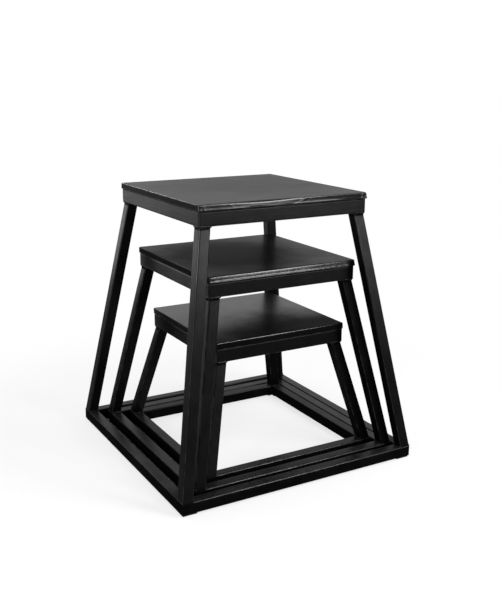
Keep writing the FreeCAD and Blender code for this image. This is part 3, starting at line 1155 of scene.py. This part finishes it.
stageLook = {
    "floorSide": 9.0,
    "floorDeep": -0.0002,           # just clear of the pads
    "floorColour": 0.8,
    "floorWhite": 0.7,              # share of plain white near the part, untouched by shadows
    "fadeFrom": 0.55,               # distance at which the floor turns to the backdrop's white
    "fadeTo": 1.1,
    "gapShadeColour": 0.02,                   # painted shade: floor colour in the narrow gaps between the base frames, where light hardly reaches
    "nookReach": 0.05,
    "nookShade": (0.42, 0.62),      # openness at which a gap is painted dark, and clear
    "nookEdge": 0.003,
    "nookSamples": 8,
    "fill": 0.45,                   # plain light from all round
    "white": (1, 1, 1, 1),
}


def seenBy(wire):
    # 1 for the camera, and for what mirrors or lets the backdrop through
    camera = wire.node("ShaderNodeLightPath", {}, {}, "Is Camera Ray")
    return camera.larger(camera.other("Is Glossy Ray")).larger(camera.other("Is Transmission Ray"))


def insideBase(wire, box):
    # 1 on the floor inside the middle line of a base frame
    soft = stageLook["nookEdge"]
    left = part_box(f"{box}_base_rail_left")
    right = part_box(f"{box}_base_rail_right")
    middle = (left[0] + right[1]) / 2
    half = (right[0].x + right[1].x - left[0].x - left[1].x) / 4
    away = place(wire, shift=(-middle.x, -middle.y, 0))
    away = wire.node("ShaderNodeVectorMath", {"operation": "ABSOLUTE"}, {0: away})
    alongX = wire.node("ShaderNodeSeparateXYZ", {}, {0: away})
    return fade(wire, alongX.larger(alongX.other("Y")), half - soft, half + soft, 1.0, 0.0)


def addWorld():
    look = stageLook
    scene.world = bpy.data.worlds.new("studio")
    scene.world.use_nodes = True
    scene.world.node_tree.nodes.clear()
    wire = Wire(scene.world.node_tree)
    fill = wire.node("ShaderNodeBackground", {}, {"Color": look["white"], "Strength": look["fill"]})
    white = wire.node("ShaderNodeBackground", {}, {"Color": look["white"], "Strength": 1.0})
    both = wire.node("ShaderNodeMixShader", {}, {0: seenBy(wire), 1: fill, 2: white})
    wire.node("ShaderNodeOutputWorld", {}, {"Surface": both})


def floorFinish(name):
    look = stageLook
    material, wire = newFinish(name)
    away = wire.node("ShaderNodeVectorMath", {"operation": "LENGTH"}, {0: place(wire)}, "Value")
    openness = {"Distance": look["nookReach"]}
    openness = wire.node("ShaderNodeAmbientOcclusion", {"samples": look["nookSamples"]}, openness, "AO")
    # painted shade: in the narrow gaps among the base frames the floor is coloured dark and loses its
    # white, the more it is enclosed
    amongBases = insideBase(wire, "tall") * (1 - insideBase(wire, "small"))
    clear = 1 - amongBases * fade(wire, openness, *look["nookShade"], 1.0, 0.0)
    share = fade(wire, away, look["fadeFrom"], look["fadeTo"], look["floorWhite"], 1.0) * clear
    colour = tint(wire, clear, rgb(look["gapShadeColour"]), rgb(look["floorColour"]))
    paint = wire.node("ShaderNodeBsdfDiffuse", {}, {"Color": colour})
    white = wire.node("ShaderNodeEmission", {}, {"Color": look["white"], "Strength": 1.0})
    mixed = wire.node("ShaderNodeMixShader", {}, {0: seenBy(wire) * share, 1: paint, 2: white})
    wire.node("ShaderNodeOutputMaterial", {}, {"Surface": mixed})
    return material


def addFloor():
    half = stageLook["floorSide"] / 2
    deep = stageLook["floorDeep"]
    mesh = bpy.data.meshes.new("floor")
    rim = [(-half, -half, deep), (half, -half, deep), (half, half, deep), (-half, half, deep)]
    mesh.from_pydata(rim, [], [(0, 1, 2, 3)])
    floor = bpy.data.objects.new("floor", mesh)
    scene.collection.objects.link(floor)
    dress(floor, floorFinish("floor_white"))


addWorld()
addFloor()


# lamps

lampAim = Vector((0, 0, 0.3))
lampLook = {
    "key": {"place": (0.91, -1.20, 1.75), "side": 0.5, "watts": 18},
    "overhead": {"place": (-0.2, 0.1, 2.3), "side": 1.2, "watts": 13},
    "frontRight": {"place": (0.95, -1.92, 0.76), "side": 0.5, "watts": 27},
    "frontLeft": {"place": (-1.88, -1.13, 0.90), "side": 0.5, "watts": 12},
    "left": {"place": (-2.04, 0.47, 0.95), "side": 0.9, "watts": 7},
    "right": {"place": (2.0, -0.8, 0.9), "side": 0.6, "watts": 8},
    "backLeft": {"place": (-1.03, 1.94, 0.58), "side": 0.8, "watts": 8},
    "behind": {"place": (-0.50, 2.0, 1.47), "side": 0.3, "watts": 4},
}


def addLamps():
    for name, look in lampLook.items():
        data = bpy.data.lights.new(name, "AREA")
        data.shape = "SQUARE"
        data.size = look["side"]
        data.energy = look["watts"]
        lamp = bpy.data.objects.new(name, data)
        lamp.location = look["place"]
        aim = lampAim - Vector(look["place"])
        lamp.rotation_euler = aim.to_track_quat("-Z", "Y").to_euler()
        lamp.visible_camera = False
        scene.collection.objects.link(lamp)


addLamps()
scene.view_settings.view_transform = "Standard"
print("stage, lamps and camera set")
